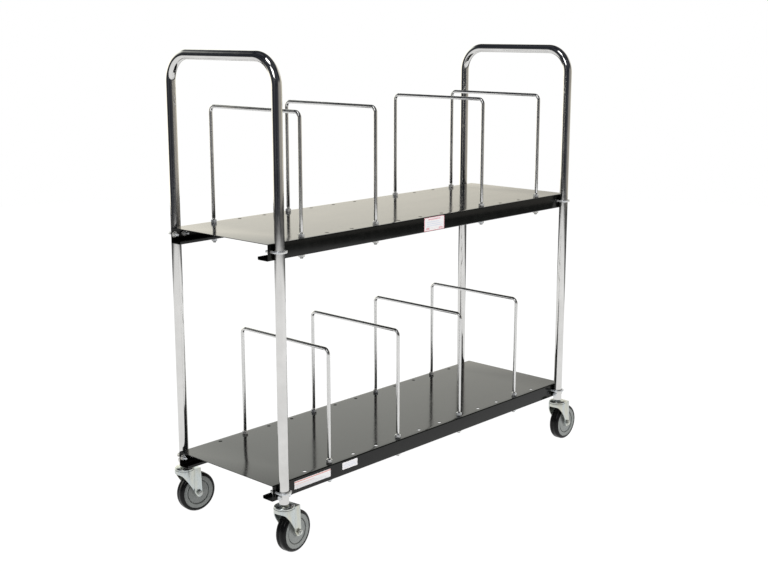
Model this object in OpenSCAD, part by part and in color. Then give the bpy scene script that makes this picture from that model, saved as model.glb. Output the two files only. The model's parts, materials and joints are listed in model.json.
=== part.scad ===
// Book cart: two steel decks on two bent tube end frames, wire dividers, four swivel casters.
// +X runs along the decks, -Y is the labelled front, +Z is up, and the wheels stand on Z = 0.
// The origin is the middle of the footprint, so the trailing wheels put the decks at -X of it.

/* [Decks] */
// Length of each deck along X
deck_len = 1219; // [1217:1:1500]
// Width of each deck over its flanges
deck_w = 369; // [352:1:386]
// Height of the front and rear flanges
flange_h = 41; // [32:0.5:52]
// Steel sheet thickness
sheet_t = 1.5; // [1.2:0.1:2]
// Width of the return lip under each flange
lip_w = 37; // [32:0.5:60]
// Height of the hem turned up along the lip's inner edge
hem_h = 8; // [5:0.5:12]
// Outer radius of every sheet bend
sheet_bend_r = 3; // [2.5:0.1:4]
// Height of the lower deck's top face
lower_deck_z = 183.5; // [178:0.5:195]
// Distance between the two decks' top faces
deck_spacing = 602; // [450:1:700]

/* [End frames] */
// Outer diameter of the frame tube
tube_d = 25.4; // [24:0.1:32]
// Wall thickness of the frame tube
tube_wall = 1.6; // [1.2:0.1:2]
// Distance between the two end frames
frame_spacing = 1168; // [1020:1:1170]
// Overall height of the cart
cart_h = 1233; // [1130:1:1400]
// Bend radius of the tube's centreline
tube_bend_r = 70; // [50:1:120]
// Height of the tube's open lower ends
tube_foot_z = 135.5; // [134.5:0.5:137]

/* [Dividers] */
// Diameter of the divider wire
wire_d = 9.5; // [8:0.1:10]
// Height of a divider's top bar centreline above its deck
divider_h = 302; // [150:1:330]
// Bend radius of the wire's centreline
wire_bend_r = 14.5; // [12:0.5:40]
// Distance between neighbouring divider holes
hole_pitch = 88; // [60:1:95]
// Distance between the front and rear rows of holes
hole_row_spacing = 332; // [316:1:340]
// Divider hole diameter
hole_d = 10.4; // [10.2:0.1:11]

/* [Casters] */
// Wheel diameter
wheel_d = 108; // [104:0.1:109]
// Tyre width
tyre_w = 30.4; // [28:0.1:31]
// Horizontal distance from the swivel axis to the axle
trail = 32.5; // [31:0.5:36]
// Radius of the round front of the fork
fork_r = 26.5; // [26:0.5:29]
// Half of the fork's width over its legs
fork_half_w = 19; // [19:0.5:21]
// Steel thickness of the fork
fork_t = 2.5; // [2:0.1:2.6]
// Swivel angle of the front left caster in degrees, 0 with its wheel trailing towards +X
front_left_turn = 7; // [-180:1:180]
// Swivel angle of the front right caster
front_right_turn = 1; // [-180:1:180]
// Swivel angle of the rear left caster
rear_left_turn = -7; // [-180:1:180]
// Swivel angle of the rear right caster
rear_right_turn = 3; // [-180:1:180]

/* [Labels] */
// Length of the label on the upper deck
upper_label_len = 83; // [40:1:120]
// Length of the long label on the lower deck
long_label_len = 127; // [60:1:160]
// Length of the short label on the lower deck
short_label_len = 56; // [30:1:80]
// Thickness of the label plates
label_t = 0.3; // [0.2:0.1:0.6]

/* [Hidden] */
$fn = 64;

// Corner names with the end (-1 left, 1 right), the side (-1 front, 1 rear) and the swivel angle
CORNERS = [
    ["front_left", -1, -1, front_left_turn], ["front_right", 1, -1, front_right_turn],
    ["rear_left", -1, 1, rear_left_turn], ["rear_right", 1, 1, rear_right_turn]
];
CASTER_PARTS = ["stem", "race_cap", "fork", "axle_bolt", "axle_nut", "axle_sleeve", "wheel_core", "tyre"];
// Divider holes along one edge of a deck, and those in use, counted from the left end
hole_count = 12;
UPPER_SLOTS = [0, 3, 8, 11];
LOWER_SLOTS = [1, 4, 7, 10];

// Places
wheel_r = wheel_d / 2;
cart_x = -(trail + wheel_r - fork_r) / 2;
upper_deck_z = lower_deck_z + deck_spacing;
deck_zs = [lower_deck_z, upper_deck_z];
frame_span = deck_w + tube_d;
tube_top_z = cart_h - tube_d / 2;
flange_y = deck_w / 2;
function end_x(end) = cart_x + end * frame_spacing / 2;
function post_y(side) = side * frame_span / 2;
function hole_x(i) = cart_x + (i - (hole_count - 1) / 2) * hole_pitch;

// Radial play of nuts on their threads and of bolts in drilled holes
fit_gap = 0.05;
bolt_play = 0.15;
// Height of a hexagon's corner chamfer over its width, and a rod's end chamfer over its radius
hex_chamfer = 0.6;
rod_chamfer = 0.25;

// Quarter-inch U-bolts and stem bolts
rod_d = 6.35;
rod_nut_af = 11.1;
rod_nut_h = 5.6;
rod_washer_d = 16;
rod_washer_t = 1.2;
u_bolt_drop = 19;
u_bolt_reach = 30;
u_bolt_r = tube_d / 2 + rod_d / 2 + bolt_play;
stem_bolt_z = lower_deck_z - 30.5;
stem_head_h = 4.2;
stem_bolt_end = 2;

// Divider nuts
wire_nut_af = 14.3;
wire_nut_h = 8;
wire_end = 12;

// Caster stem and swivel
stem_d = tube_d - 2 * tube_wall - 0.2;
stem_h = 35;
stem_neck_d = 15;
stem_neck_h = 0.8;
crown_z = 124;
race_cap_top_z = 132.5;
race_cap_r = 25.8;
race_cap_t = 2.2;
race_cap_hub_r = 9;
race_cap_flat_r = 15;
race_cap_shoulder = 4.6;
race_cap_dome = 3.9;
race_gap = 0.7;
race_ceiling = 5.4;
king_clear = 0.4;
king_r = 5;
king_gap = 0.06;
king_head_r = 12;
king_head_h = 3.6;
king_rivet_r = 6.5;
king_rivet_h = 3.5;
ball_r = 2.5;
ball_ring_r = 19;
ball_count = 16;
ball_gap = 0.15;

// Labels: left edge from the deck's middle, bottom edge below the deck's top, and height
upper_label_x = -49;
upper_label_drop = 39;
upper_label_h = 37;
long_label_x = -537;
long_label_drop = 29.5;
long_label_h = 21;
short_label_x = -367;
short_label_drop = 25;
short_label_h = 19;

// Caster fork and wheel
crown_back = 38.6;
rim_drop = 9;
leg_end_r = 9;
leg_end_drop = 2.5;
leg_slope = 56.5;
leg_fillet_r = 16;
axle_r = 3.95;
axle_fit = 0.05;
axle_af = 12.7;
axle_head_h = 5.3;
axle_nut_h = 6.8;
axle_end = 2.2;
sleeve_r = 6.3;
sleeve_gap = 0.06;
fork_inner_w = 2 * (fork_half_w - fork_t);
hub_play = 1.6;
hub_w = fork_inner_w - hub_play;
tyre_t = 9;
rim_r = wheel_r - tyre_t;

// A wire or tube hoop in the YZ plane: centrelines span apart, feet at z = 0, top bar at height
module hoop(r, span, height, bend_r) {
    side_y = span / 2 - bend_r;
    for (m = [0, 1]) mirror([0, m, 0]) {
        translate([0, span / 2, 0]) cylinder(r = r, h = height - bend_r);
        translate([0, side_y, height - bend_r])
            rotate([90, 0, 90]) rotate_extrude(angle = 90) translate([bend_r, 0]) circle(r = r);
    }
    translate([0, -side_y, height]) rotate([-90, 0, 0]) cylinder(r = r, h = 2 * side_y);
}

// Hexagon blank along +Z with turned corners
module hex_blank(af, h) {
    corner_r = af / 2 / cos(30);
    chamfer = (corner_r - af / 2) * hex_chamfer;
    intersection() {
        cylinder(r = corner_r, h = h, $fn = 6);
        rotate_extrude() polygon([
            [0, 0], [af / 2, 0], [corner_r, chamfer],
            [corner_r, h - chamfer], [af / 2, h], [0, h]
        ]);
    }
}

module hex_nut(af, h, bore_r) {
    difference() {
        hex_blank(af, h);
        translate([0, 0, -1]) cylinder(r = bore_r, h = h + 2);
    }
}

// Round rod along +Z whose far end is turned down for the first thread
module rod(r, h) {
    chamfer = r * rod_chamfer;
    cylinder(r = r, h = h - chamfer);
    translate([0, 0, h - chamfer]) cylinder(r1 = r, r2 = r - chamfer, h = chamfer);
}

module end_frame(end) {
    color("silver") difference() {
        translate([end_x(end), 0, tube_foot_z])
            hoop(tube_d / 2, frame_span, tube_top_z - tube_foot_z, tube_bend_r);
        translate([end_x(end), 0, tube_foot_z - 1])
            hoop(tube_d / 2 - tube_wall, frame_span, tube_top_z - tube_foot_z + 1, tube_bend_r);
        for (side = [-1, 1]) stem_bolt_hole(end, side);
    }
}

module stem_bolt_hole(end, side) {
    translate([end_x(end) - tube_d, post_y(side), stem_bolt_z])
        rotate([0, 90, 0]) cylinder(r = rod_d / 2 + bolt_play, h = 2 * tube_d);
}

// Quarter of a sheet bend, turned to the quadrant that starts at angle a
module sheet_bend(x, y, a) {
    translate([x, y]) rotate(a) intersection() {
        difference() {
            circle(r = sheet_bend_r);
            circle(r = sheet_bend_r - sheet_t);
        }
        square(sheet_bend_r);
    }
}

// Cross-section of a deck, bottom of the lips at y = 0
module deck_profile() {
    bend_x = flange_y - sheet_bend_r;
    hem_x = flange_y - lip_w;
    translate([-bend_x, flange_h - sheet_t]) square([2 * bend_x, sheet_t]);
    for (m = [0, 1]) mirror([m, 0]) {
        sheet_bend(bend_x, flange_h - sheet_bend_r, 0);
        translate([flange_y - sheet_t, sheet_bend_r]) square([sheet_t, flange_h - 2 * sheet_bend_r]);
        sheet_bend(bend_x, sheet_bend_r, -90);
        translate([hem_x + sheet_bend_r, 0]) square([lip_w - 2 * sheet_bend_r, sheet_t]);
        sheet_bend(hem_x + sheet_bend_r, sheet_bend_r, 180);
        translate([hem_x, sheet_bend_r]) square([sheet_t, hem_h - sheet_bend_r]);
    }
}

module deck(top_z) {
    color([0.13, 0.13, 0.14]) difference() {
        translate([cart_x - deck_len / 2, 0, top_z - flange_h])
            rotate([90, 0, 90]) linear_extrude(deck_len) deck_profile();
        for (i = [0:hole_count - 1], side = [-1, 1])
            translate([hole_x(i), side * hole_row_spacing / 2, top_z - flange_h - 1])
                cylinder(d = hole_d, h = flange_h + 2);
        for (end = [-1, 1], side = [-1, 1], leg = [-1, 1])
            translate([end_x(end) + leg * u_bolt_r, side * flange_y, top_z - u_bolt_drop])
                rotate([90, 0, 0]) cylinder(r = rod_d / 2 + 2 * bolt_play, h = 4 * sheet_t, center = true);
    }
}

// Ring that turns down the foot of a rod of radius r standing on z = 0
module foot_chamfer(r) {
    cut = r / 4;
    difference() {
        translate([0, 0, -1]) cylinder(r = r + 1, h = cut + 1);
        translate([0, 0, -1]) cylinder(r1 = r - cut - 1, r2 = r, h = cut + 1);
    }
}

module divider(top_z, slot) {
    foot_z = top_z - flange_h - wire_end;
    color("silver") translate([hole_x(slot), 0, foot_z]) difference() {
        hoop(wire_d / 2, hole_row_spacing, top_z + divider_h - foot_z, wire_bend_r);
        for (side = [-1, 1])
            translate([0, side * hole_row_spacing / 2, 0]) foot_chamfer(wire_d / 2);
    }
}

// One nut on each divider leg, bottom faces offset from the deck tops
module divider_nuts(offset) {
    slots = [LOWER_SLOTS, UPPER_SLOTS];
    color("gainsboro") for (d = [0, 1], slot = slots[d], side = [-1, 1])
        translate([hole_x(slot), side * hole_row_spacing / 2, deck_zs[d] + offset])
            hex_nut(wire_nut_af, wire_nut_h, wire_d / 2 + fit_gap);
}

// Puts its children on every post at U-bolt height, local +Y pointing away from the decks
module at_u_bolts() {
    for (end = [-1, 1], side = [-1, 1], z = deck_zs)
        translate([end_x(end), post_y(side), z - u_bolt_drop])
            rotate(side > 0 ? 0 : 180) children();
}

module u_bolts() {
    color("silver") at_u_bolts() {
        rotate_extrude(angle = 180) translate([u_bolt_r, 0]) circle(d = rod_d);
        for (leg = [-1, 1])
            translate([leg * u_bolt_r, 0, 0]) rotate([90, 0, 0]) rod(rod_d / 2, u_bolt_reach);
    }
}

// Puts its children on every U-bolt leg, local +Z pointing inwards from the flange's inner face
module at_u_bolt_legs() {
    at_u_bolts() for (leg = [-1, 1])
        translate([leg * u_bolt_r, -tube_d / 2 - sheet_t, 0]) rotate([90, 0, 0]) children();
}

module u_bolt_washers() {
    color("gainsboro") at_u_bolt_legs() difference() {
        cylinder(d = rod_washer_d, h = rod_washer_t);
        translate([0, 0, -1]) cylinder(r = rod_d / 2 + bolt_play, h = rod_washer_t + 2);
    }
}

module u_bolt_nuts() {
    color("gainsboro") at_u_bolt_legs()
        translate([0, 0, rod_washer_t]) hex_nut(rod_nut_af, rod_nut_h, rod_d / 2 + fit_gap);
}

// Puts its children on every stem bolt's axis, local +Z along +X from the post's centre
module at_stem_bolts() {
    for (end = [-1, 1], side = [-1, 1])
        translate([end_x(end), post_y(side), stem_bolt_z]) rotate([0, 90, 0]) children();
}

module stem_bolts() {
    color("silver") at_stem_bolts() {
        translate([0, 0, -tube_d / 2 - stem_head_h]) hex_blank(rod_nut_af, stem_head_h);
        translate([0, 0, -tube_d / 2]) rod(rod_d / 2, tube_d + rod_nut_h + stem_bolt_end);
    }
}

module stem_bolt_nuts() {
    color("gainsboro") at_stem_bolts()
        translate([0, 0, tube_d / 2]) hex_nut(rod_nut_af, rod_nut_h, rod_d / 2 + fit_gap);
}

// Sticker on the front flange of the deck whose top is at top_z
module label(top_z, left, drop, len, h) {
    color("white") translate([cart_x + left, -flange_y - label_t, top_z - drop]) cube([len, label_t, h]);
}

// Puts its children on a caster's swivel axis at floor level
module at_swivel(corner) {
    translate([end_x(corner[1]), post_y(corner[2]), 0]) rotate(corner[3]) children();
}

// Puts its children on a caster's axle, local +Z along +Y before the caster is turned
module at_axle(corner) {
    at_swivel(corner) translate([trail, 0, wheel_r]) rotate([-90, 0, 0]) children();
}

// Solid stem with its tapered shoulder and the kingpin that carries the swivel
module stem(corner) {
    neck_z = race_cap_top_z + stem_neck_h;
    king_head_z = crown_z - fork_t - king_clear - king_head_h;
    color("gainsboro") difference() {
        at_swivel(corner) {
            translate([0, 0, tube_foot_z]) cylinder(d = stem_d, h = stem_h);
            translate([0, 0, neck_z]) cylinder(d1 = stem_neck_d, d2 = tube_d, h = tube_foot_z - neck_z);
            translate([0, 0, race_cap_top_z]) cylinder(d = stem_neck_d, h = neck_z - race_cap_top_z);
            translate([0, 0, king_head_z]) cylinder(r = king_r, h = race_cap_top_z - king_head_z);
            translate([0, 0, king_head_z]) cylinder(r = king_head_r, h = king_head_h);
            translate([0, 0, king_head_z - king_rivet_h]) cylinder(r = king_rivet_r, h = king_rivet_h);
        }
        stem_bolt_hole(corner[1], corner[2]);
    }
}

// Domed cap over the ball race
module race_cap(corner) {
    rim_z = crown_z + race_gap;
    ceiling_z = crown_z + race_ceiling;
    shoulder_z = race_cap_top_z - race_cap_shoulder;
    bore_r = king_r + fit_gap;
    shoulder = [for (a = [0:15:90]) [
        race_cap_flat_r + (race_cap_r - race_cap_flat_r) * cos(a), shoulder_z + race_cap_dome * sin(a)
    ]];
    color([0.72, 0.74, 0.72]) at_swivel(corner) rotate_extrude() polygon(concat(
        [[bore_r, ceiling_z], [race_cap_r - race_cap_t, ceiling_z]],
        [[race_cap_r - race_cap_t, rim_z], [race_cap_r, rim_z]],
        shoulder,
        [[race_cap_hub_r, race_cap_top_z], [bore_r, race_cap_top_z]]
    ));
}

module caster_balls() {
    color("silver") for (corner = CORNERS, k = [0:ball_count - 1])
        at_swivel(corner) rotate(k * 360 / ball_count)
            translate([ball_ring_r, 0, crown_z + ball_r + ball_gap]) sphere(r = ball_r, $fn = 32);
}

// Plan of the fork, inset by d: a round front and two straight sides
module fork_plan(d, back) {
    circle(r = fork_r - d);
    translate([0, -fork_half_w + d]) square([back, 2 * (fork_half_w - d)]);
}

// Side view of the fork's skirt and legs, x from the swivel axis and y up from the floor
module fork_side() {
    rim_z = crown_z - rim_drop;
    end_z = wheel_r - leg_end_drop;
    front_x = trail - leg_end_r * sin(leg_slope);
    front_z = end_z - leg_end_r * cos(leg_slope);
    corner_x = front_x - (rim_z - front_z) / tan(leg_slope);
    fillet_len = leg_fillet_r * tan(leg_slope / 2);
    difference() {
        union() {
            translate([trail, end_z]) circle(r = leg_end_r);
            polygon([
                [-fork_r - 1, crown_z], [-fork_r - 1, rim_z], [corner_x - fillet_len, rim_z],
                [corner_x + fillet_len * cos(leg_slope), rim_z - fillet_len * sin(leg_slope)],
                [front_x, front_z], [trail, end_z], [trail + leg_end_r, end_z], [crown_back, crown_z]
            ]);
        }
        translate([corner_x - fillet_len, rim_z - leg_fillet_r]) circle(r = leg_fillet_r);
    }
}

module fork(corner) {
    leg_foot_z = wheel_r - leg_end_drop - leg_end_r - 1;
    reach = trail + leg_end_r + 1;
    color([0.78, 0.80, 0.76]) at_swivel(corner) difference() {
        union() {
            intersection() {
                translate([0, 0, leg_foot_z]) linear_extrude(crown_z - leg_foot_z) difference() {
                    fork_plan(0, reach);
                    fork_plan(fork_t, reach + 1);
                }
                rotate([90, 0, 0]) linear_extrude(3 * fork_r, center = true) fork_side();
            }
            translate([0, 0, crown_z - fork_t]) linear_extrude(fork_t) fork_plan(0, crown_back);
        }
        translate([0, 0, crown_z - 2 * fork_t]) cylinder(r = king_r + king_gap, h = 3 * fork_t);
        translate([trail, 0, wheel_r]) rotate([90, 0, 0])
            cylinder(r = axle_r + axle_fit, h = 3 * fork_r, center = true);
    }
}

// Hex-head axle bolt, head at the rear side and thread at the front side
module axle_bolt(corner) {
    color("silver") at_axle(corner) {
        translate([0, 0, fork_half_w]) hex_blank(axle_af, axle_head_h);
        mirror([0, 0, 1]) translate([0, 0, -fork_half_w])
            rod(axle_r, 2 * fork_half_w + axle_nut_h + axle_end);
    }
}

module axle_nut(corner) {
    color("gainsboro") at_axle(corner)
        translate([0, 0, -fork_half_w - axle_nut_h]) hex_nut(axle_af, axle_nut_h, axle_r + axle_fit);
}

// Sleeve clamped between the fork's legs, on which the wheel turns
module axle_sleeve(corner) {
    color("silver") at_axle(corner) difference() {
        translate([0, 0, -fork_inner_w / 2]) cylinder(r = sleeve_r, h = fork_inner_w);
        translate([0, 0, -fork_half_w]) cylinder(r = axle_r + axle_fit, h = 2 * fork_half_w);
    }
}

// Moulded wheel centre: hub, recessed disc, ring groove and rim
module wheel_core(corner) {
    hub_r = 12;
    hub_edge = 1.5;
    hub_draft = 2.5;
    disc_w = 23;
    disc_dish = 1;
    groove_w = 18;
    groove_t = 2.2;
    groove_draft = 0.4;
    rim_w = 28;
    rim_edge = 1.2;
    groove_r = rim_r - 11.5;
    groove_in_r = groove_r - groove_t;
    half_profile = [
        [sleeve_r + sleeve_gap, hub_w / 2], [hub_r - hub_edge, hub_w / 2], [hub_r, hub_w / 2 - hub_edge],
        [hub_r + hub_draft, disc_w / 2], [groove_in_r, disc_w / 2 + disc_dish],
        [groove_in_r + groove_draft, groove_w / 2], [groove_r - groove_draft, groove_w / 2],
        [groove_r, rim_w / 2 - rim_edge], [groove_r + rim_edge, rim_w / 2], [rim_r, rim_w / 2]
    ];
    other_half = [for (i = [len(half_profile) - 1:-1:0]) [half_profile[i].x, -half_profile[i].y]];
    color([0.48, 0.52, 0.53]) at_axle(corner) rotate_extrude() polygon(concat(half_profile, other_half));
}

// Tyre with a flat tread band and round shoulders
module tyre(corner) {
    color([0.10, 0.10, 0.10]) at_axle(corner) rotate_extrude() intersection() {
        union() {
            translate([rim_r, -tyre_w / 2 + tyre_t]) square([tyre_t, tyre_w - 2 * tyre_t]);
            for (s = [-1, 1]) translate([rim_r, s * (tyre_w / 2 - tyre_t)]) circle(r = tyre_t);
        }
        translate([rim_r, -tyre_w]) square([tyre_t, 2 * tyre_w]);
    }
}

end_frame(-1);  // left_end_frame
end_frame(1);  // right_end_frame
deck(upper_deck_z);  // upper_deck
deck(lower_deck_z);  // lower_deck
for (i = [1:4]) {
    divider(upper_deck_z, UPPER_SLOTS[i - 1]);
    divider(lower_deck_z, LOWER_SLOTS[i - 1]);
}
divider_nuts(0);  // divider_deck_nuts
divider_nuts(-flange_h - wire_nut_h);  // divider_lip_nuts
u_bolts();
u_bolt_washers();
u_bolt_nuts();
stem_bolts();
stem_bolt_nuts();
caster_balls();
label(upper_deck_z, upper_label_x, upper_label_drop, upper_label_len, upper_label_h);  // upper_label
label(lower_deck_z, long_label_x, long_label_drop, long_label_len, long_label_h);  // long_label
label(lower_deck_z, short_label_x, short_label_drop, short_label_len, short_label_h);  // short_label
for (c = CORNERS) {
    stem(c);
    race_cap(c);
    fork(c);
    axle_bolt(c);
    axle_nut(c);
    axle_sleeve(c);
    wheel_core(c);
    tyre(c);
}
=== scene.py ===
import json
import math
import bmesh
import bpy
from mathutils import Matrix, Vector

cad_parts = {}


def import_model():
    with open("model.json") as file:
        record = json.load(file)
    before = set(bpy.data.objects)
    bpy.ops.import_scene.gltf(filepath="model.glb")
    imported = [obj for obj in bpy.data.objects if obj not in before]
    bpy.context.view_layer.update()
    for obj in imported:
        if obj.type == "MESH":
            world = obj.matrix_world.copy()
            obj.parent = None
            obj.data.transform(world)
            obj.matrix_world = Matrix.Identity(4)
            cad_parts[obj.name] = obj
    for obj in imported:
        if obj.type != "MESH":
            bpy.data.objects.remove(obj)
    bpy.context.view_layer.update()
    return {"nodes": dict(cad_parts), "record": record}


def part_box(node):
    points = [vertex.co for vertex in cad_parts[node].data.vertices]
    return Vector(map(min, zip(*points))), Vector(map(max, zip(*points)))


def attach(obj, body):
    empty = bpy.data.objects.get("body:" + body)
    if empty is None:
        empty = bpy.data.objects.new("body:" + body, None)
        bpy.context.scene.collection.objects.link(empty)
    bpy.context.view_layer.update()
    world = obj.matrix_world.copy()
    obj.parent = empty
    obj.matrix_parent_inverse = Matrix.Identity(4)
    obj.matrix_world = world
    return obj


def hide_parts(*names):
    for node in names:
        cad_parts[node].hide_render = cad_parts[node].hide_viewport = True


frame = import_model()

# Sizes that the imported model's boxes don't give, in metres
MM = 0.001
TUBE_WALL = 1.6 * MM
TUBE_BEND = 70 * MM
WIRE_BEND = 14.5 * MM
SHEET = 1.5 * MM
SHEET_BEND = 3 * MM
SHEET_BREAK = 0.3 * MM
LIP = 37 * MM
HEM = 8 * MM
HOLE_PITCH = 88 * MM
HOLE_ROWS = 332 * MM
HOLE_R = 5.2 * MM
HOLES_PER_ROW = 12
UPPER_SLOTS = (0, 3, 8, 11)
LOWER_SLOTS = (1, 4, 7, 10)

# Threaded parts: 3/8 inch divider wire, 1/4 inch rod for U-bolts and stem bolts, M8 axle bolts
WIRE_PITCH = 1.59 * MM
WIRE_NUT_AF = 14.3 * MM
WIRE_NUT_H = 8 * MM
WIRE_THREAD_ABOVE_DECK = 13 * MM
ROD_R = 6.35 * MM / 2
ROD_PITCH = 1.27 * MM
ROD_NUT_AF = 11.1 * MM
ROD_NUT_H = 5.6 * MM
ROD_HEAD_H = 4.2 * MM
ROD_CLEARANCE = 0.15 * MM
WASHER_R = 8 * MM
WASHER_H = 1.2 * MM
WASHER_RIM = 0.2 * MM
U_BOLT_DROP = 19 * MM
U_BOLT_REACH = 30 * MM
STEM_BOLT_PAST_POST = 7.6 * MM
AXLE_R = 3.95 * MM
AXLE_PITCH = 1.25 * MM
AXLE_NUT_AF = 12.7 * MM
AXLE_NUT_H = 6.8 * MM
AXLE_HEAD_H = 5.3 * MM
AXLE_END = 2.2 * MM
THREAD_DEPTH = 0.55
THREAD_OVERLAP = 0.3 * MM
WIRE_THREAD_OVERLAP = 0.5 * MM
NUT_CHAMFER = math.radians(30)
NUT_FACE = 0.475
NUT_POINTS = 72

# Casters and labels
LABEL_CORNER = 2 * MM
TYRE_W = 30.4 * MM
TYRE_THICK = 9 * MM
FORK_HALF = 19 * MM
CORNERS = ("front_left", "front_right", "rear_left", "rear_right")

JOINTS = {joint["name"]: joint for joint in frame["record"]["behaviour"]["joints"]}
BODY_OF = {node: body for body, nodes in frame["record"]["behaviour"]["bodies"].items() for node in nodes}


# ---------------------------------------------------------------- mesh helpers

class Shape:
    """Points and faces of one piece, gathered ring by ring."""

    def __init__(self):
        self.points = []
        self.faces = []

    def rings(self, rings, matrix=Matrix(), loop=False, caps=(True, True)):
        """Joins rings of equal length with quads. A loop joins the last ring to the first."""
        start, count = len(self.points), len(rings[0])
        for ring in rings:
            self.points += [matrix @ Vector(p) for p in ring]
        pairs = list(zip(range(len(rings)), range(1, len(rings))))
        if loop:
            pairs.append((len(rings) - 1, 0))
        for a, b in pairs:
            for k in range(count):
                n = (k + 1) % count
                self.faces.append([start + i for i in (a * count + k, a * count + n, b * count + n, b * count + k)])
        if not loop and caps[0]:
            self.faces.append([start + k for k in reversed(range(count))])
        if not loop and caps[1]:
            self.faces.append([start + (len(rings) - 1) * count + k for k in range(count)])

    def piece(self, name, material, body, slot, replaces=(), sharp=32):
        """Makes the object, gives it a material and ties it to the frame."""
        mesh = bpy.data.meshes.new(name)
        mesh.from_pydata(self.points, [], self.faces)
        bm = bmesh.new()
        bm.from_mesh(mesh)
        bmesh.ops.recalc_face_normals(bm, faces=bm.faces)
        bm.to_mesh(mesh)
        bm.free()
        return finish_piece(name, mesh, material, body, replaces, sharp)


def finish_piece(name, mesh, material, body, replaces=(), sharp=32):
    mesh.materials.clear()
    mesh.materials.append(material)
    mesh.shade_smooth()
    mesh.set_sharp_from_angle(angle=math.radians(sharp))
    piece = bpy.data.objects.new(name, mesh)
    bpy.context.scene.collection.objects.link(piece)
    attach(piece, body)
    if replaces:
        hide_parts(*replaces)
    return piece


def circle(radius, z, count):
    """Ring round +Z. radius may be a function of the angle."""
    angles = [2 * math.pi * k / count for k in range(count)]
    sizes = [radius(a) if callable(radius) else radius for a in angles]
    return [(r * math.cos(a), r * math.sin(a), z) for r, a in zip(sizes, angles)]


def rounded(points, radius, steps=6):
    """An open outline whose inner corners are arcs: a list of (point, left-hand normal)."""
    points = [Vector(p) for p in points]
    out = []
    for k, p in enumerate(points):
        ahead = (points[k + 1] - p).normalized() if k + 1 < len(points) else None
        behind = (p - points[k - 1]).normalized() if k else None
        if ahead is None or behind is None:
            d = ahead if behind is None else behind
            out.append((p, Vector((-d.y, d.x))))
            continue
        turn = behind.angle_signed(ahead)
        cut = radius * math.tan(abs(turn) / 2)
        side = -1 if turn > 0 else 1
        centre = p - behind * cut + Vector((-behind.y, behind.x)) * radius * side
        for i in range(steps + 1):
            n = Vector((-behind.y, behind.x))
            n.rotate(Matrix.Rotation(-turn * i / steps, 2))
            out.append((centre - n * radius * side, n))
    return out


def thread_radius(radius, pitch, depth):
    """Radius of a right-hand V thread at a height and an angle."""
    def at(z, angle):
        phase = (z / pitch - angle / (2 * math.pi)) % 1
        return radius - depth * abs(2 * phase - 1)
    return at


def thread_rings(radius, low, high, pitch, count, rows_per_turn=5):
    """Rings of a threaded stretch of rod from low to high along +Z, turned down at high."""
    shape = thread_radius(radius, pitch, THREAD_DEPTH * pitch)
    steps = max(2, round((high - low) / pitch * rows_per_turn))
    lead_in = 0.25 * radius
    rings = []
    for i in range(steps + 1):
        z = low + (high - low) * i / steps
        limit = radius - max(0, z - (high - lead_in)) * 0.8
        fade = min(1, (z - low) / pitch)
        rings.append(circle(lambda a: min(limit, radius + (shape(z, a) - radius) * fade), z, count))
    return rings


def hex_radius(af):
    """Radius of a hexagon at an angle. af is its width across flats."""
    def at(angle):
        return af / 2 / math.cos(math.radians((math.degrees(angle) % 60) - 30))
    return at


def nut_rings(af, height, bore):
    """A hexagon nut round +Z from 0 to height, with coned corners and a countersunk bore."""
    count = NUT_POINTS
    corner = hex_radius(af)
    flat = NUT_FACE * af
    sink = 0.07 * af

    def cone(angle):
        return (corner(angle) - flat) * math.tan(NUT_CHAMFER)

    angles = [2 * math.pi * k / count for k in range(count)]
    low = [(corner(a) * math.cos(a), corner(a) * math.sin(a), cone(a)) for a in angles]
    high = [(x, y, height - z) for x, y, z in low]
    inner = [circle(bore + sink, height, count), circle(bore, height - sink, count)]
    outer = [circle(bore, sink, count), circle(bore + sink, 0, count)]
    return [circle(flat, 0, count), low, high, circle(flat, height, count)] + inner + outer


def head_rings(af, height, shank):
    """A hexagon bolt head from its coned top at height down to its washer face at 0."""
    count = NUT_POINTS
    corner = hex_radius(af)
    flat = NUT_FACE * af
    washer_face = 0.3 * MM
    crown = 0.1 * MM
    angles = [2 * math.pi * k / count for k in range(count)]

    def side(z_at):
        return [(corner(a) * math.cos(a), corner(a) * math.sin(a), z_at(a)) for a in angles]

    top = side(lambda a: height - (corner(a) - flat) * math.tan(NUT_CHAMFER))
    base = side(lambda a: washer_face)
    return [circle(flat * 0.9, height, count), circle(flat, height - crown, count), top, base,
            circle(flat, washer_face, count), circle(flat, 0, count), circle(shank, 0, count)]


def tube_rings(path, across, radius, count):
    """Rings round a flat path of (point, tangent) pairs. across is the normal of the path's plane."""
    rings = []
    for p, tangent in path:
        up = across.cross(tangent).normalized()
        angles = [2 * math.pi * i / count for i in range(count)]
        rings.append([p + (across * math.cos(a) + up * math.sin(a)) * radius for a in angles])
    return rings


def hoop_path(x, half_span, foot, top, bend, steps=20, straight=12):
    """Centreline of a hoop in a YZ plane, from the foot at -Y up, over and down to the foot at +Y."""
    path = []
    for side in (-1, 1):
        leg = []
        for i in range(straight):
            z = foot + (top - bend - foot) * i / straight
            leg.append((Vector((x, side * half_span, z)), Vector((0, 0, -side))))
        for i in range(steps + 1):
            a = math.pi / 2 * i / steps
            y = side * (half_span - bend + bend * math.cos(a))
            z = top - bend + bend * math.sin(a)
            leg.append((Vector((x, y, z)), Vector((0, -side * math.sin(a), math.cos(a))) * -side))
        path += leg if side < 0 else leg[::-1]
    return path


# ------------------------------------------------------------------- materials

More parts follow.
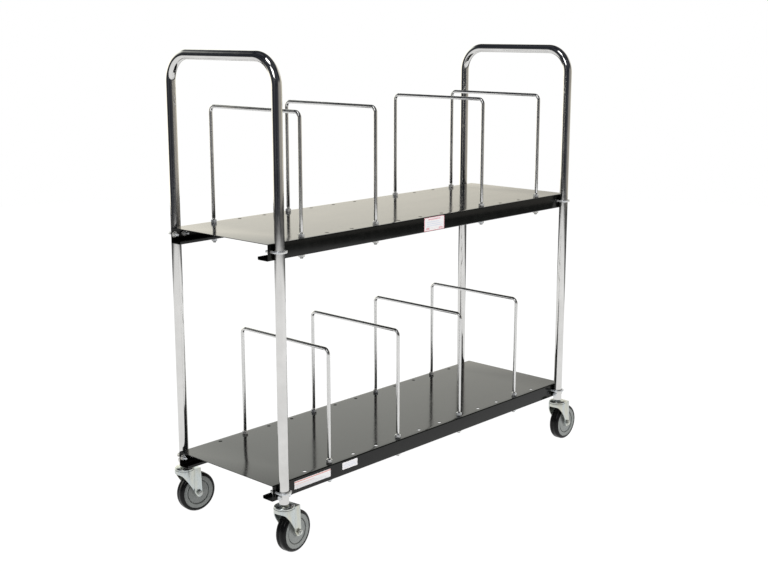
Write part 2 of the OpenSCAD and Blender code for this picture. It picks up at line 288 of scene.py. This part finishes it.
class Nodes:
    """A short way to write one material's node tree."""

    def __init__(self, name):
        self.material = bpy.data.materials.new(name)
        self.material.use_nodes = True
        self.tree = self.material.node_tree
        self.shader = self.tree.nodes["Principled BSDF"]
        self.coords = self.tree.nodes.new("ShaderNodeTexCoord")

    def link(self, out, into):
        self.tree.links.new(out, into)

    def stretched(self, scale):
        """Object coordinates multiplied by a scale for each axis."""
        node = self.tree.nodes.new("ShaderNodeMapping")
        node.inputs["Scale"].default_value = scale
        self.link(self.coords.outputs["Object"], node.inputs["Vector"])
        return node.outputs["Vector"]

    def noise(self, scale, detail=3.0, roughness=0.55, stretch=(1, 1, 1)):
        node = self.tree.nodes.new("ShaderNodeTexNoise")
        node.inputs["Scale"].default_value = scale
        node.inputs["Detail"].default_value = detail
        node.inputs["Roughness"].default_value = roughness
        self.link(self.stretched(stretch), node.inputs["Vector"])
        return node.outputs["Fac"]

    def spread(self, value, low, high, into_low=0.3, into_high=0.7):
        """Maps a noise value from its middle range to low..high."""
        node = self.tree.nodes.new("ShaderNodeMapRange")
        node.inputs["From Min"].default_value = into_low
        node.inputs["From Max"].default_value = into_high
        node.inputs["To Min"].default_value = low
        node.inputs["To Max"].default_value = high
        self.link(value, node.inputs["Value"])
        return node.outputs["Result"]

    def ramp(self, value, stops):
        node = self.tree.nodes.new("ShaderNodeValToRGB")
        ramp = node.color_ramp
        ramp.elements[0].position, ramp.elements[0].color = stops[0][0], (*stops[0][1], 1)
        ramp.elements[1].position, ramp.elements[1].color = stops[-1][0], (*stops[-1][1], 1)
        for place, colour in stops[1:-1]:
            ramp.elements.new(place).color = (*colour, 1)
        self.link(value, node.inputs["Fac"])
        return node.outputs["Color"]

    def mix(self, factor, a, b):
        node = self.tree.nodes.new("ShaderNodeMix")
        node.data_type = "RGBA"
        sockets = [s for s in node.inputs if s.type == "RGBA"]
        for socket, value in zip(sockets, (a, b)):
            if isinstance(value, tuple):
                socket.default_value = (*value, 1)
            else:
                self.link(value, socket)
        self.link(factor, node.inputs["Factor"])
        return [s for s in node.outputs if s.type == "RGBA"][0]

    def math(self, operation, a, b):
        node = self.tree.nodes.new("ShaderNodeMath")
        node.operation = operation
        for socket, value in zip(node.inputs, (a, b)):
            if isinstance(value, (int, float)):
                socket.default_value = value
            else:
                self.link(value, socket)
        return node.outputs["Value"]

    def bump(self, height, distance, strength=1.0, base=None):
        node = self.tree.nodes.new("ShaderNodeBump")
        node.inputs["Distance"].default_value = distance
        node.inputs["Strength"].default_value = strength
        self.link(height, node.inputs["Height"])
        if base is not None:
            self.link(base, node.inputs["Normal"])
        return node.outputs["Normal"]

    def set(self, **values):
        """Constant values go straight onto the shader, and sockets are linked to it."""
        for key, value in values.items():
            socket = self.shader.inputs[key.replace("_", " ")]
            if isinstance(value, bpy.types.NodeSocket):
                self.link(value, socket)
            else:
                socket.default_value = value


def chrome(name, tint, rough_low, rough_high):
    """Plated steel: mirror bright, with drawing lines, smudges and a slightly wavy reflection."""
    m = Nodes(name)
    lines = m.noise(220, 2, 0.6, (1, 1, 0.02))
    smudge = m.noise(9, 5, 0.65)
    waves = m.noise(26, 2, 0.5, (1, 1, 0.35))
    colour = m.ramp(smudge, [(0.32, tuple(0.86 * c for c in tint)), (0.62, tint)])
    rough = m.math("ADD", m.spread(smudge, rough_low, rough_high, 0.35, 0.75), m.spread(lines, 0, 0.05))
    normal = m.bump(lines, 0.012 * MM, 0.5, m.bump(waves, 0.5 * MM, 0.32))
    m.set(Base_Color=colour, Metallic=1.0, Roughness=rough, Normal=normal)
    return m.material


def powder_coat():
    """Black powder coat: orange peel, a slightly uneven sheet under it, dust and rubbed patches."""
    m = Nodes("black_enamel")
    peel = m.noise(950, 2, 0.5)
    sheet = m.noise(5.5, 1, 0.4)
    dust = m.noise(38, 6, 0.7)
    rubs = m.noise(14, 4, 0.6, (0.25, 1.4, 1))
    colour = m.ramp(dust, [(0.35, (0.003, 0.0034, 0.003)), (0.7, (0.007, 0.0074, 0.0066))])
    rough = m.math("ADD", m.spread(rubs, 0.085, 0.135), m.spread(dust, 0, 0.04, 0.45, 0.8))
    normal = m.bump(peel, 0.03 * MM, 0.16, m.bump(sheet, 0.9 * MM, 0.07))
    m.set(Base_Color=colour, Roughness=rough, IOR=1.38, Normal=normal)
    return m.material


def zinc(name, cold, warm, rough_low, rough_high, metal=1.0):
    """Zinc plate: cold and warm passivation clouds, fine grain and handling marks."""
    m = Nodes(name)
    clouds = m.noise(42, 3, 0.55, (1, 1, 0.3))
    grain = m.noise(1400, 2, 0.7)
    marks = m.noise(240, 4, 0.7, (1, 1, 0.3))
    colour = m.mix(m.spread(clouds, 0, 1, 0.4, 0.62), cold, warm)
    shade = m.mix(m.spread(marks, 0, 0.35, 0.5, 0.8), colour, tuple(0.55 * c for c in cold))
    rough = m.math("ADD", m.spread(clouds, rough_low, rough_high), m.spread(grain, 0, 0.07))
    normal = m.bump(grain, 0.02 * MM, 0.35, m.bump(marks, 0.08 * MM, 0.3))
    m.set(Base_Color=shade, Metallic=metal, Roughness=rough, Normal=normal)
    return m.material


def rubber():
    """Black tyre: smooth moulded rubber with bloom and faint scuffs round the tread."""
    m = Nodes("tyre_rubber")
    bloom = m.noise(45, 4, 0.6)
    scuffs = m.noise(420, 5, 0.75)
    colour = m.ramp(bloom, [(0.35, (0.0055, 0.0055, 0.006)), (0.7, (0.012, 0.012, 0.0125))])
    rough = m.math("ADD", m.spread(bloom, 0.2, 0.29), m.spread(scuffs, 0, 0.12, 0.4, 0.75))
    m.set(Base_Color=colour, Roughness=rough, Normal=m.bump(scuffs, 0.05 * MM, 0.22), IOR=1.26)
    return m.material


def moulded_plastic():
    """Blue-grey wheel plastic: faint flow marks and fine sparkle-free grain."""
    m = Nodes("wheel_plastic")
    flow = m.noise(60, 3, 0.6)
    grain = m.noise(1700, 2, 0.6)
    colour = m.ramp(flow, [(0.3, (0.225, 0.242, 0.234)), (0.7, (0.275, 0.287, 0.275))])
    rough = m.math("ADD", m.spread(flow, 0.36, 0.46), m.spread(grain, 0, 0.08))
    m.set(Base_Color=colour, Roughness=rough, Normal=m.bump(grain, 0.03 * MM, 0.3))
    return m.material


def stripes(m, axis, edges):
    """1 where a generated coordinate lies between two edges, else 0."""
    split = m.tree.nodes.new("ShaderNodeSeparateXYZ")
    m.link(m.coords.outputs["Generated"], split.inputs["Vector"])
    value = split.outputs[axis]
    return m.math("MULTIPLY", m.math("GREATER_THAN", value, edges[0]), m.math("LESS_THAN", value, edges[1]))


def printed(name, paper, blocks):
    """Plain sticker: paper colour with printed blocks, each (x edges, z edges, colour). No lettering."""
    m = Nodes(name)
    fibre = m.noise(900, 3, 0.6)
    ageing = m.noise(30, 3, 0.6)
    colour = m.mix(m.spread(ageing, 0, 0.22), paper, tuple(0.9 * c for c in paper))
    for across, up, ink in blocks:
        colour = m.mix(m.math("MULTIPLY", stripes(m, "X", across), stripes(m, "Z", up)), colour, ink)
    rough = m.spread(fibre, 0.34, 0.46)
    m.set(Base_Color=colour, Roughness=rough, Normal=m.bump(fibre, 0.02 * MM, 0.2))
    return m.material


CHROME_TUBE = chrome("chrome_tube", (0.77, 0.765, 0.75), 0.03, 0.11)
CHROME_WIRE = chrome("chrome_wire", (0.80, 0.80, 0.79), 0.17, 0.27)
BLACK = powder_coat()
BRIGHT_ZINC = zinc("bright_zinc", (0.80, 0.83, 0.86), (0.86, 0.85, 0.81), 0.28, 0.42, 0.6)
FORK_ZINC = zinc("fork_zinc", (0.60, 0.65, 0.65), (0.67, 0.675, 0.59), 0.2, 0.32)
AXLE_ZINC = zinc("axle_zinc", (0.60, 0.63, 0.62), (0.66, 0.66, 0.60), 0.3, 0.42, 0.55)
BALL_STEEL = zinc("bearing_steel", (0.62, 0.63, 0.65), (0.68, 0.68, 0.68), 0.08, 0.14)
PLASTIC = moulded_plastic()
RUBBER = rubber()


# ----------------------------------------------------------- frames and decks

def end_frame(node):
    """A chromed tube hoop with its real wall, finer than the CAD mesh."""
    low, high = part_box(node)
    radius = (high.x - low.x) / 2
    x = (high.x + low.x) / 2
    path = hoop_path(x, high.y - radius, low.z, high.z - radius, TUBE_BEND, 28)
    across = Vector((1, 0, 0))
    shape = Shape()
    outer = tube_rings(path, across, radius, 56)
    inner = tube_rings(path, across, radius - TUBE_WALL, 56)
    shape.rings(outer + inner[::-1], loop=True)
    shape.piece(node + "_tube", CHROME_TUBE, "root", "chrome_tube", [node])


def deck_outline(low, high):
    """The sheet's closed outline in YZ, thickness included, and the same shrunk for its cut ends."""
    half, t = high.y, SHEET / 2
    bottom, top = low.z + t, high.z - t
    inner = half - LIP + t
    side = half - t
    corners = [(-inner, low.z + HEM), (-inner, bottom), (-side, bottom), (-side, top)]
    corners += [(-y, z) for y, z in reversed(corners)]
    centre = rounded(corners, SHEET_BEND - t, 8)

    def thick(half_t):
        return [p + n * half_t for p, n in centre] + [p - n * half_t for p, n in reversed(centre)]

    return thick(t), thick(t - SHEET_BREAK)


def hole_places(deck_node):
    """X and Y coordinates of a deck's rows of divider holes."""
    low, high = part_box(deck_node)
    middle = (low.x + high.x) / 2
    xs = [middle + (i - (HOLES_PER_ROW - 1) / 2) * HOLE_PITCH for i in range(HOLES_PER_ROW)]
    return xs, (-HOLE_ROWS / 2, HOLE_ROWS / 2)


def cut(target, cutter_shape, name):
    """Takes the cutter's volume out of a mesh object, and leaves plain mesh data."""
    mesh = bpy.data.meshes.new(name)
    mesh.from_pydata(cutter_shape.points, [], cutter_shape.faces)
    bm = bmesh.new()
    bm.from_mesh(mesh)
    bmesh.ops.recalc_face_normals(bm, faces=bm.faces)
    bm.to_mesh(mesh)
    bm.free()
    cutter = bpy.data.objects.new(name, mesh)
    bpy.context.scene.collection.objects.link(cutter)
    modifier = target.modifiers.new("holes", "BOOLEAN")
    modifier.operation = "DIFFERENCE"
    modifier.solver = "EXACT"
    modifier.object = cutter
    depsgraph = bpy.context.evaluated_depsgraph_get()
    result = bpy.data.meshes.new_from_object(target.evaluated_get(depsgraph))
    target.modifiers.clear()
    target.data = result
    bpy.data.objects.remove(cutter)
    return result


def deck(node):
    """A folded sheet deck with rounded bends, drilled for dividers."""
    low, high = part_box(node)
    full, ends = deck_outline(low, high)
    sections = [(low.x, ends), (low.x + SHEET_BREAK, full), (high.x - SHEET_BREAK, full), (high.x, ends)]
    shape = Shape()
    shape.rings([[(x, p.x, p.y) for p in outline] for x, outline in sections])
    piece = shape.piece(node + "_sheet", BLACK, "root", "black_enamel", [node])
    drills = Shape()
    past = 5 * MM
    xs, ys = hole_places(node)
    for x in xs:
        for y in ys:
            rings = [circle(HOLE_R, z, 40) for z in (low.z - past, high.z + past)]
            drills.rings(rings, Matrix.Translation((x, y, 0)))
    cut(piece, drills, "divider_drill")
    mesh = piece.data
    mesh.shade_smooth()
    mesh.set_sharp_from_angle(angle=math.radians(25))


def divider(node):
    """A chromed wire hoop with threaded leg ends."""
    low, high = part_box(node)
    radius = (high.x - low.x) / 2
    x = (high.x + low.x) / 2
    half = high.y - radius
    deck_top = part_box(node.split("_")[0] + "_deck")[1].z
    thread_top = deck_top + WIRE_THREAD_ABOVE_DECK
    path = hoop_path(x, half, thread_top, high.z - radius, WIRE_BEND, 14, 6)
    shape = Shape()
    rings = tube_rings(path, Vector((1, 0, 0)), radius, 36)
    shape.rings(rings, caps=(False, False))
    for side in (-1, 1):
        turned = Matrix.Translation((x, side * half, 0)) @ Matrix.Rotation(math.pi, 4, "X")
        shape.rings(thread_rings(radius, -thread_top, -low.z, WIRE_PITCH, 36), turned, caps=(False, True))
    weld(shape.piece(node + "_wire", CHROME_WIRE, "root", "chrome_wire", [node]))


def weld(piece):
    """Joins the rings where a rod's plain and threaded stretches meet."""
    bm = bmesh.new()
    bm.from_mesh(piece.data)
    bmesh.ops.remove_doubles(bm, verts=bm.verts, dist=0.004 * MM)
    bmesh.ops.recalc_face_normals(bm, faces=bm.faces)
    bm.to_mesh(piece.data)
    bm.free()


# ------------------------------------------------------------------- hardware

def divider_nuts(node, on_top):
    """Hexagon nuts on every divider leg, above the deck or under its lip."""
    shape = Shape()
    for deck_name, slots in (("lower", LOWER_SLOTS), ("upper", UPPER_SLOTS)):
        deck_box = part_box(deck_name + "_deck")
        for number, slot_index in enumerate(slots):
            low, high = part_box(f"{deck_name}_divider_{number + 1}")
            wire = (high.x - low.x) / 2
            for side in (-1, 1):
                z = deck_box[1].z if on_top else deck_box[0].z - WIRE_NUT_H
                place = Matrix.Translation(((low.x + high.x) / 2, side * (high.y - wire), z))
                turn = Matrix.Rotation(math.radians(17 * (slot_index + 3 * side)), 4, "Z")
                nut = nut_rings(WIRE_NUT_AF, WIRE_NUT_H, wire - WIRE_THREAD_OVERLAP)
                shape.rings(nut, place @ turn, loop=True)
    shape.piece(node + "_mesh", BRIGHT_ZINC, "root", "bright_zinc", [node])


def post_places():
    """Each post's (x, y, side) from the end frames' boxes."""
    places = []
    for node in ("left_end_frame", "right_end_frame"):
        low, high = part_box(node)
        radius = (high.x - low.x) / 2
        for side in (-1, 1):
            places.append(((low.x + high.x) / 2, side * (high.y - radius), side))
    return places


def post_radius():
    low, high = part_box("left_end_frame")
    return (high.x - low.x) / 2


def u_bolts():
    """U-bolts round the posts, with threaded legs, washers and nuts inside the flanges."""
    tube_r = post_radius()
    ring_r = tube_r + ROD_R + ROD_CLEARANCE
    plain = tube_r + SHEET * 0.5
    bore = ROD_R + ROD_CLEARANCE
    disc = [circle(bore, 0, 48), circle(WASHER_R - WASHER_RIM, 0, 48), circle(WASHER_R, WASHER_RIM, 48),
            circle(WASHER_R, WASHER_H - WASHER_RIM, 48), circle(WASHER_R - WASHER_RIM, WASHER_H, 48),
            circle(bore, WASHER_H, 48)]
    bolts, washers, nuts = Shape(), Shape(), Shape()
    for deck_name in ("lower_deck", "upper_deck"):
        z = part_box(deck_name)[1].z - U_BOLT_DROP
        for x, y, side in post_places():
            frame_at = Matrix.Translation((x, y, z)) @ Matrix.Rotation(0 if side > 0 else math.pi, 4, "Z")
            arc = []
            for i in range(33):
                a = math.pi * i / 32
                point = Vector((ring_r * math.cos(a), ring_r * math.sin(a), 0))
                arc.append((point, Vector((-math.sin(a), math.cos(a), 0))))
            start = (Vector((ring_r, -plain, 0)), Vector((0, 1, 0)))
            end = (Vector((-ring_r, -plain, 0)), Vector((0, -1, 0)))
            bend = tube_rings([start] + arc + [end], Vector((0, 0, 1)), ROD_R, 28)
            bolts.rings(bend, frame_at, caps=(False, False))
            for leg in (-1, 1):
                down = frame_at @ Matrix.Translation((leg * ring_r, 0, 0)) @ Matrix.Rotation(math.pi / 2, 4, "X")
                bolts.rings(thread_rings(ROD_R, plain, U_BOLT_REACH, ROD_PITCH, 28), down, caps=(False, True))
                inside = down @ Matrix.Translation((0, 0, tube_r + SHEET))
                washers.rings(disc, inside, loop=True)
                turn = Matrix.Rotation(math.radians(25 * leg + 11 * side), 4, "Z")
                nuts.rings(nut_rings(ROD_NUT_AF, ROD_NUT_H, ROD_R - THREAD_OVERLAP),
                           inside @ Matrix.Translation((0, 0, WASHER_H)) @ turn, loop=True)
    weld(bolts.piece("u_bolts_mesh", BRIGHT_ZINC, "root", "bright_zinc", ["u_bolts"]))
    washers.piece("u_bolt_washers_mesh", BRIGHT_ZINC, "root", "bright_zinc", ["u_bolt_washers"])
    nuts.piece("u_bolt_nuts_mesh", BRIGHT_ZINC, "root", "bright_zinc", ["u_bolt_nuts"])


def stem_bolts():
    """Cross bolts that hold the caster stems in the posts."""
    low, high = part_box("stem_bolts")
    z = (low.z + high.z) / 2
    tube_r = post_radius()
    bolts, nuts = Shape(), Shape()
    for x, y, _ in post_places():
        at = Matrix.Translation((x, y, z)) @ Matrix.Rotation(math.pi / 2, 4, "Y")
        head = head_rings(ROD_NUT_AF, ROD_HEAD_H, ROD_R)
        flipped = [[(px, py, -pz) for px, py, pz in ring] for ring in head]
        bolts.rings(flipped, at @ Matrix.Translation((0, 0, -tube_r)), caps=(True, False))
        bolts.rings(thread_rings(ROD_R, 0, 2 * tube_r + STEM_BOLT_PAST_POST, ROD_PITCH, NUT_POINTS),
                    at @ Matrix.Translation((0, 0, -tube_r)), caps=(False, True))
        nuts.rings(nut_rings(ROD_NUT_AF, ROD_NUT_H, ROD_R - THREAD_OVERLAP),
                   at @ Matrix.Translation((0, 0, tube_r)), loop=True)
    weld(bolts.piece("stem_bolts_mesh", BRIGHT_ZINC, "root", "bright_zinc", ["stem_bolts"]))
    nuts.piece("stem_bolt_nuts_mesh", BRIGHT_ZINC, "root", "bright_zinc", ["stem_bolt_nuts"])


# -------------------------------------------------------------------- casters

def softened(node, width, material):
    """The CAD node's own form with its edges rounded over, as pressing and deburring leave them."""
    source = frame["nodes"][node].data
    mesh = bpy.data.meshes.new(node + "_soft")
    mesh.from_pydata([v.co for v in source.vertices], [], [list(p.vertices) for p in source.polygons])
    bm = bmesh.new()
    bm.from_mesh(mesh)
    bmesh.ops.remove_doubles(bm, verts=bm.verts, dist=0.002 * MM)
    bmesh.ops.dissolve_limit(bm, angle_limit=math.radians(0.4), verts=bm.verts, edges=bm.edges)
    edges = [e for e in bm.edges if len(e.link_faces) == 2 and e.calc_face_angle() > math.radians(30)]
    bmesh.ops.bevel(bm, geom=edges, offset=width, segments=3, profile=0.5, affect="EDGES", clamp_overlap=True)
    bmesh.ops.recalc_face_normals(bm, faces=bm.faces)
    bm.to_mesh(mesh)
    bm.free()
    return finish_piece(node + "_soft", mesh, material, BODY_OF[node], [node], 38)


def caster(corner):
    softened(corner + "_fork", 0.45 * MM, FORK_ZINC)
    softened(corner + "_race_cap", 0.4 * MM, FORK_ZINC)
    softened(corner + "_stem", 0.4 * MM, BRIGHT_ZINC)
    softened(corner + "_wheel_core", 0.45 * MM, PLASTIC)
    low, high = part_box(corner + "_tyre")
    spin = JOINTS[corner + "_wheel_spin"]
    turn = math.atan2(-spin["axis"][0], spin["axis"][1])
    axle = Matrix.Translation(spin["pos_m"]) @ Matrix.Rotation(turn, 4, "Z") @ Matrix.Rotation(-math.pi / 2, 4, "X")
    tyre(corner, axle, (high.z - low.z) / 2)
    axle_bolt(corner, axle)


def tyre(corner, axle, radius):
    """Moulded tyre: round shoulders, a flat tread, a fine parting line and a lip over the rim."""
    thick = TYRE_THICK
    rim = radius - thick
    half = TYRE_W / 2
    lip = 0.5 * MM
    lip_depth = 2.4 * MM
    line_half, line_depth = 0.35 * MM, 0.12 * MM
    side = []
    for i in range(11):
        a = math.pi / 2 * i / 10
        side.append((rim + thick * math.sin(a), half - thick + thick * math.cos(a)))
    side = [(rim, half - lip_depth), (rim, half - lip), (rim + lip, half)] + side[2:]
    line = [(radius, line_half), (radius - line_depth, line_depth)]
    profile = side + line
    profile += [(r, -z) for r, z in reversed(profile)]
    shape = Shape()
    shape.rings([circle(r, z, 144) for r, z in profile], axle, loop=True)
    shape.piece(corner + "_tyre_mesh", RUBBER, corner + "_wheel", "tyre_rubber", [corner + "_tyre"], 40)


def axle_bolt(corner, axle):
    """Axle bolt with a threaded end, and its nut."""
    bolt = Shape()
    bolt.rings(head_rings(AXLE_NUT_AF, AXLE_HEAD_H, AXLE_R), axle @ Matrix.Translation((0, 0, FORK_HALF)),
               caps=(True, False))
    flip = axle @ Matrix.Rotation(math.pi, 4, "X")
    plain = FORK_HALF - 3 * MM
    bolt.rings([circle(AXLE_R, z, NUT_POINTS) for z in (-FORK_HALF, plain)], flip, caps=(False, False))
    end = FORK_HALF + AXLE_NUT_H + AXLE_END
    bolt.rings(thread_rings(AXLE_R, plain, end, AXLE_PITCH, NUT_POINTS, 6), flip, caps=(False, True))
    body = corner + "_swivel"
    weld(bolt.piece(corner + "_axle_bolt_mesh", AXLE_ZINC, body, "bright_zinc", [corner + "_axle_bolt"]))
    nut = Shape()
    nut.rings(nut_rings(AXLE_NUT_AF, AXLE_NUT_H, AXLE_R - THREAD_OVERLAP),
              flip @ Matrix.Translation((0, 0, FORK_HALF)), loop=True)
    nut.piece(corner + "_axle_nut_mesh", AXLE_ZINC, body, "bright_zinc", [corner + "_axle_nut"])


# --------------------------------------------------------------------- labels

def sticker(node, material):
    """A thin plate with round corners in place of the CAD one."""
    low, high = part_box(node)
    radius = LABEL_CORNER
    outline = []
    for cx, cz, start in ((high.x - radius, high.z - radius, 0), (low.x + radius, high.z - radius, 90),
                          (low.x + radius, low.z + radius, 180), (high.x - radius, low.z + radius, 270)):
        for i in range(7):
            a = math.radians(start + 15 * i)
            outline.append((cx + radius * math.cos(a), cz + radius * math.sin(a)))
    shape = Shape()
    shape.rings([[(x, y, z) for x, z in outline] for y in (low.y, high.y)])
    shape.piece(node + "_print", material, "root", "label", [node])


WHITE_PAPER = (0.93, 0.915, 0.92)
PINK = (0.84, 0.46, 0.50)
RED_LINE = (0.80, 0.36, 0.32)
PALE_BLUE = (0.70, 0.75, 0.87)
GREY = (0.66, 0.66, 0.69)


def frame_blocks(ink, x_edge, z_edge):
    """A printed border, as shares of the label's width and height."""
    return [((0.0, 1.0), (0.0, z_edge), ink), ((0.0, 1.0), (1 - z_edge, 1.0), ink),
            ((0.0, x_edge), (0.0, 1.0), ink), ((1 - x_edge, 1.0), (0.0, 1.0), ink)]


def rows(low, high, count, ink, left=0.12, right=0.88):
    """Plain bars that stand in for lines of print."""
    step = (high - low) / count
    return [((left, right - 0.07 * (i % 3)), (low + step * (i + 0.3), low + step * (i + 0.62)), ink)
            for i in range(count)]


def labels():
    upper = frame_blocks(PINK, 0.03, 0.05) + rows(0.30, 0.72, 3, PALE_BLUE)
    upper += [((0.1, 0.26), (0.1, 0.24), PINK), ((0.72, 0.92), (0.1, 0.2), PINK), ((0.2, 0.8), (0.8, 0.88), PINK)]
    long = [((0.0, 1.0), (0.80, 0.93), RED_LINE), ((0.0, 0.55), (0.52, 0.57), RED_LINE)]
    long += rows(0.08, 0.46, 3, GREY, 0.04, 0.96)
    short = rows(0.18, 0.86, 3, PALE_BLUE, 0.08, 0.92)
    for node, blocks in (("upper_label", upper), ("long_label", long), ("short_label", short)):
        sticker(node, printed(node + "_print", WHITE_PAPER, blocks))


# ---------------------------------------------------------------------- build

for frame_node in ("left_end_frame", "right_end_frame"):
    end_frame(frame_node)
for deck_node in ("upper_deck", "lower_deck"):
    deck(deck_node)
for level in ("upper", "lower"):
    for number in range(1, 5):
        divider(f"{level}_divider_{number}")
divider_nuts("divider_deck_nuts", True)
divider_nuts("divider_lip_nuts", False)
u_bolts()
stem_bolts()
for corner_name in CORNERS:
    caster(corner_name)
labels()

SLOT_MATERIALS = {"chrome_tube": CHROME_TUBE, "chrome_wire": CHROME_WIRE, "black_enamel": BLACK,
                  "bright_zinc": BRIGHT_ZINC, "fork_zinc": FORK_ZINC, "bearing_steel": BALL_STEEL,
                  "wheel_plastic": PLASTIC, "tyre_rubber": RUBBER}
for subpart in frame["record"]["subparts"]:
    finish = SLOT_MATERIALS.get(subpart["material_slot"])
    if finish is not None:
        slots = frame["nodes"][subpart["node"]].data.materials
        slots.clear()
        slots.append(finish)


# ------------------------------------------------------- floor, light, camera

FLOOR_R = 6.0
POOL_CENTRE = (-1.2, -0.6, 0)
POOL_EDGE = (3.3, 4.2)
POOL_GLOW = (0.86, 0.03)
YAW = math.radians(47.168)
PITCH = math.radians(12.131)
CAMERA_PLACE = (-2.5088, -2.2898, 1.2887)
CAMERA_LENS = 56.8
WHITE = (1.0, 1.0, 1.0)


def studio_floor():
    """Pale studio floor: white where it is seen, and a pool of light round the cart where it is mirrored."""
    material = bpy.data.materials.new("floor")
    material.use_nodes = True
    tree = material.node_tree
    new, link = tree.nodes.new, tree.links.new
    shader = tree.nodes["Principled BSDF"]
    shader.inputs["Base Color"].default_value = (0.10, 0.10, 0.10, 1)
    shader.inputs["Roughness"].default_value = 0.9
    shader.inputs["Specular IOR Level"].default_value = 0.0
    coords = new("ShaderNodeTexCoord")
    distance = new("ShaderNodeVectorMath")
    distance.operation = "DISTANCE"
    distance.inputs[1].default_value = POOL_CENTRE
    link(coords.outputs["Object"], distance.inputs[0])
    pool = new("ShaderNodeMapRange")
    pool.interpolation_type = "SMOOTHSTEP"
    for name, number in zip(("From Min", "From Max", "To Min", "To Max"), POOL_EDGE + POOL_GLOW):
        pool.inputs[name].default_value = number
    link(distance.outputs["Value"], pool.inputs["Value"])
    path = new("ShaderNodeLightPath")
    glow = new("ShaderNodeMix")
    link(path.outputs["Is Camera Ray"], glow.inputs["Factor"])
    link(pool.outputs["Result"], glow.inputs["A"])
    glow.inputs["B"].default_value = 1.0
    shader.inputs["Emission Color"].default_value = (1, 1, 1, 1)
    link(glow.outputs["Result"], shader.inputs["Emission Strength"])
    mesh = bpy.data.meshes.new("floor")
    outline = circle(FLOOR_R, 0, 96)
    mesh.from_pydata(outline, [], [list(range(len(outline)))])
    mesh.materials.append(material)
    floor = bpy.data.objects.new("floor", mesh)
    bpy.context.scene.collection.objects.link(floor)


def camera():
    data = bpy.data.cameras.new("camera")
    data.sensor_width = 36
    data.lens = CAMERA_LENS
    data.clip_end = 100
    cam = bpy.data.objects.new("camera", data)
    cam.location = CAMERA_PLACE
    cam.rotation_euler = (math.pi / 2 - PITCH, 0, -YAW)
    bpy.context.scene.collection.objects.link(cam)
    bpy.context.scene.camera = cam


def area_light(name, place, target, size, power, glossy):
    data = bpy.data.lights.new(name, "AREA")
    data.shape = "RECTANGLE"
    data.size, data.size_y = size
    data.energy = power
    lamp = bpy.data.objects.new(name, data)
    lamp.location = place
    lamp.rotation_euler = (Vector(target) - Vector(place)).to_track_quat("-Z", "Y").to_euler()
    lamp.visible_camera = False
    lamp.visible_glossy = glossy
    bpy.context.scene.collection.objects.link(lamp)


def world():
    """White sweep behind the cart, a dark room on the other sides, and white for a plain background."""
    scene_world = bpy.data.worlds.new("studio")
    scene_world.use_nodes = True
    bpy.context.scene.world = scene_world
    tree = scene_world.node_tree
    tree.nodes.clear()
    new, link = tree.nodes.new, tree.links.new
    coords = new("ShaderNodeTexCoord")

    def toward(direction):
        node = new("ShaderNodeVectorMath")
        node.operation = "DOT_PRODUCT"
        node.inputs[1].default_value = direction
        link(coords.outputs["Generated"], node.inputs[0])
        return node.outputs["Value"]

    def step(value, start, stop, low=0.0, high=1.0):
        node = new("ShaderNodeMapRange")
        node.interpolation_type = "SMOOTHSTEP"
        for name, number in (("From Min", start), ("From Max", stop), ("To Min", low), ("To Max", high)):
            node.inputs[name].default_value = number
        link(value, node.inputs["Value"])
        return node.outputs["Result"]

    def product(a, b):
        node = new("ShaderNodeMath")
        node.operation = "MULTIPLY"
        link(a, node.inputs[0])
        link(b, node.inputs[1])
        return node.outputs["Value"]

    def blend(factor, a, b):
        node = new("ShaderNodeMix")
        node.data_type = "RGBA"
        link(factor, node.inputs["Factor"])
        for socket, value in zip([s for s in node.inputs if s.type == "RGBA"], (a, b)):
            if isinstance(value, tuple):
                socket.default_value = (*value, 1)
            else:
                link(value, socket)
        return [s for s in node.outputs if s.type == "RGBA"][0]

    behind = toward((math.sin(YAW), math.cos(YAW), 0))
    right = toward((math.cos(YAW), -math.sin(YAW), 0))
    height = toward((0, 0, 1))
    clutter = new("ShaderNodeTexNoise")
    clutter.inputs["Scale"].default_value = 2.6
    clutter.inputs["Detail"].default_value = 3
    link(coords.outputs["Generated"], clutter.inputs["Vector"])
    room = blend(step(clutter.outputs["Fac"], 0.38, 0.66), (0.016, 0.018, 0.024), (0.075, 0.078, 0.088))
    side = product(step(right, 0.42, 0.92), step(height, 0.32, 0.12))
    room = blend(side, room, (0.36, 0.34, 0.31))
    low_sweep = blend(step(right, -0.25, 0.5), (1.58, 1.52, 1.34), (0.68, 0.64, 0.54))
    high_sweep = blend(step(right, -0.25, 0.5), (1.40, 1.42, 1.33), (0.86, 0.83, 0.76))
    sweep = blend(step(height, 0.13, 0.30), low_sweep, high_sweep)
    shade = blend(product(step(behind, 0.12, 0.5), step(height, 0.62, 0.42)), room, sweep)
    path = new("ShaderNodeLightPath")
    seen = blend(path.outputs["Is Camera Ray"], shade, WHITE)
    background = new("ShaderNodeBackground")
    link(seen, background.inputs["Color"])
    output = new("ShaderNodeOutputWorld")
    link(background.outputs["Background"], output.inputs["Surface"])


studio_floor()
area_light("overhead", (0.4, 0.3, 3.6), (0, 0, 0), (4.5, 4.5), 38, False)
area_light("key", (-3.6, -1.2, 2.9), (0, 0, 0.4), (1.3, 1.3), 22, True)
area_light("top", (-2.0, -0.3, 3.6), (-0.4, -0.1, 0.2), (0.9, 0.9), 14, True)
area_light("fill", (1.5, -4.0, 1.6), (0, 0, 0.5), (2.2, 1.6), 95, False)
world()
camera()
bpy.context.scene.view_settings.view_transform = "Standard"
